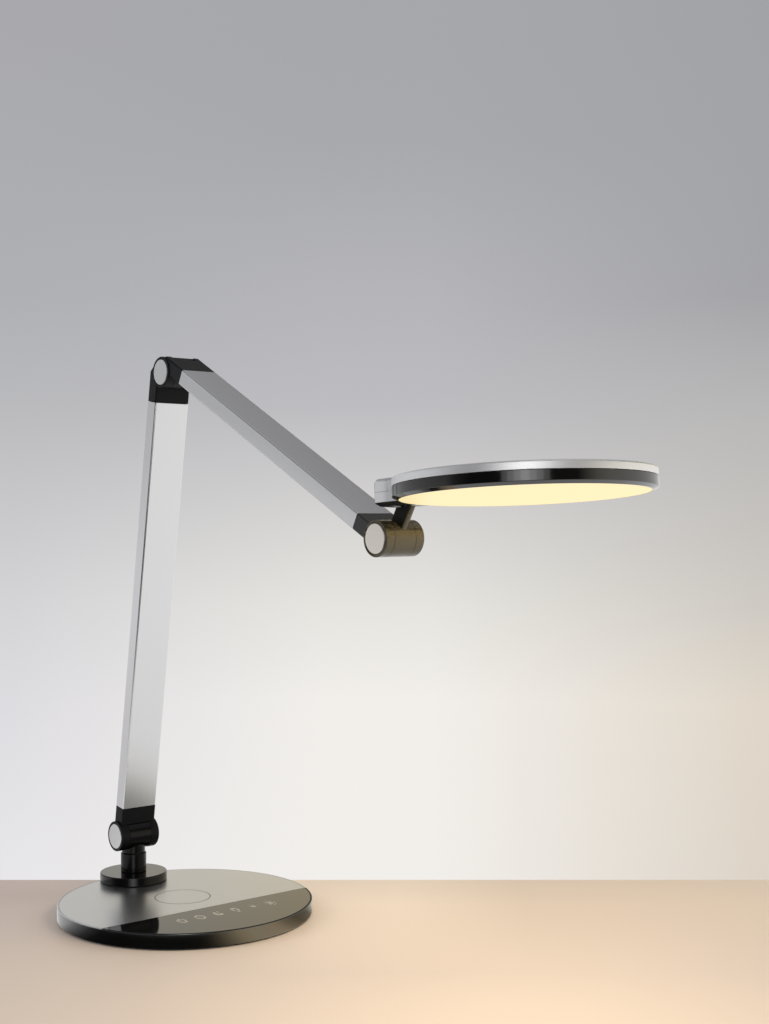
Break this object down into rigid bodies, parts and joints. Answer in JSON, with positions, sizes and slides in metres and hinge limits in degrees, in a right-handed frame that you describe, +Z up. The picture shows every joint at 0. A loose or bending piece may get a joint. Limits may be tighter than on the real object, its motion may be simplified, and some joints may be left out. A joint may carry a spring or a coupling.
{
  "type": "desk lamp",
  "caption": "Desk lamp: round base with touch panel and charging area, turntable post, two flat arm tubes on friction hinges and a thin round light head on a swivel.",
  "frame": {"origin": "centre of the flat underside of the base's foot pad", "axes": "+Z up, -Y forward to the light head, +X along the hinge axes to the right when looking along +Y"},
  "size_m": [0.2026, 0.5475, 0.4422],
  "materials": {
    "silver_aluminium": "fine satin anodised silver",
    "silver_caps": "satin silver with a fine turned face",
    "silver_plate": "satin silver paint over plastic",
    "black_gloss": "high gloss black",
    "black_panel": "black gloss acrylic",
    "black_matte": "fine matte black",
    "steel": "zinc plated",
    "rubber_pad": "matte",
    "washer_plastic": "matte nylon",
    "circuit_board": "solder mask",
    "copper": "enamelled copper winding",
    "ferrite": "matte",
    "light_diffuser": "opal, lit warm",
    "clear_guide": "clear polished acrylic",
    "white_sheet": "white film"
  },
  "bodies": {
    "base": {"base_shell": "black_gloss", "base_plate": "silver_plate", "touch_panel": "black_panel", "touch_board": "circuit_board", "charge_coil": "copper", "ferrite_sheet": "ferrite", "main_board": "circuit_board", "base_weight": "steel", "bottom_cover": "black_matte", "foot_pad": "rubber_pad", "cover_screw_1": "steel", "cover_screw_2": "steel", "cover_screw_3": "steel", "dc_socket": "black_matte"},
    "turntable": {"turntable_disc": "black_gloss", "post": "black_gloss", "swivel_spindle": "steel", "swivel_washer": "steel", "swivel_nut": "steel"},
    "lower_arm": {"lower_fork": "black_gloss", "lower_tube": "silver_aluminium", "lower_lead": "rubber_pad", "elbow_knuckle": "black_gloss", "lower_hinge_bolt": "steel", "lower_hinge_nut": "steel", "lower_hinge_washer_left": "washer_plastic", "lower_hinge_washer_right": "washer_plastic", "lower_hinge_cap_left": "silver_caps", "lower_hinge_cap_right": "silver_caps"},
    "upper_arm": {"elbow_fork": "black_gloss", "upper_tube": "silver_aluminium", "upper_lead": "rubber_pad", "head_fork": "black_gloss", "elbow_bolt": "steel", "elbow_nut": "steel", "elbow_washer_left": "washer_plastic", "elbow_washer_right": "washer_plastic", "elbow_cap_left": "silver_caps", "elbow_cap_right": "silver_caps", "head_hinge_bolt": "steel", "head_hinge_nut": "steel", "head_hinge_washer_left": "washer_plastic", "head_hinge_washer_right": "washer_plastic", "head_hinge_cap_left": "silver_caps", "head_hinge_cap_right": "silver_caps"},
    "head_tilt": {"head_lever": "black_gloss"},
    "head": {"bracket_base": "black_gloss", "bracket_lower": "silver_aluminium", "bracket_upper": "silver_aluminium", "head_washer": "steel", "head_nut": "steel", "bracket_screw_1": "steel", "bracket_screw_2": "steel", "head_ring": "black_gloss", "head_cover": "silver_aluminium", "diffuser": "light_diffuser", "light_guide": "clear_guide", "led_strip": "circuit_board", "reflector": "white_sheet"}
  },
  "joints": [
    {"name": "turntable_swivel", "type": "hinge", "parent": "base", "child": "turntable", "pos_m": [0, 0.081, 0.0127], "axis": [0, 0, 1], "range_deg": [-90, 90]},
    {"name": "lower_hinge", "type": "hinge", "parent": "turntable", "child": "lower_arm", "pos_m": [0, 0.081, 0.0506], "axis": [1, 0, 0], "range_deg": [-50, 32]},
    {"name": "elbow", "type": "hinge", "parent": "lower_arm", "child": "upper_arm", "pos_m": [0, 0.01163, 0.42987], "axis": [-1, 0, 0], "range_deg": [-50, 60]},
    {"name": "head_hinge", "type": "hinge", "parent": "upper_arm", "child": "head_tilt", "pos_m": [0, -0.25564, 0.30152], "axis": [1, 0, 0], "range_deg": [-25, 60]},
    {"name": "head_swivel", "type": "hinge", "parent": "head_tilt", "child": "head", "pos_m": [0, -0.26771, 0.32243], "axis": [0.0219, 0.0784, 0.9967], "range_deg": [-95, 70]}
  ]
}
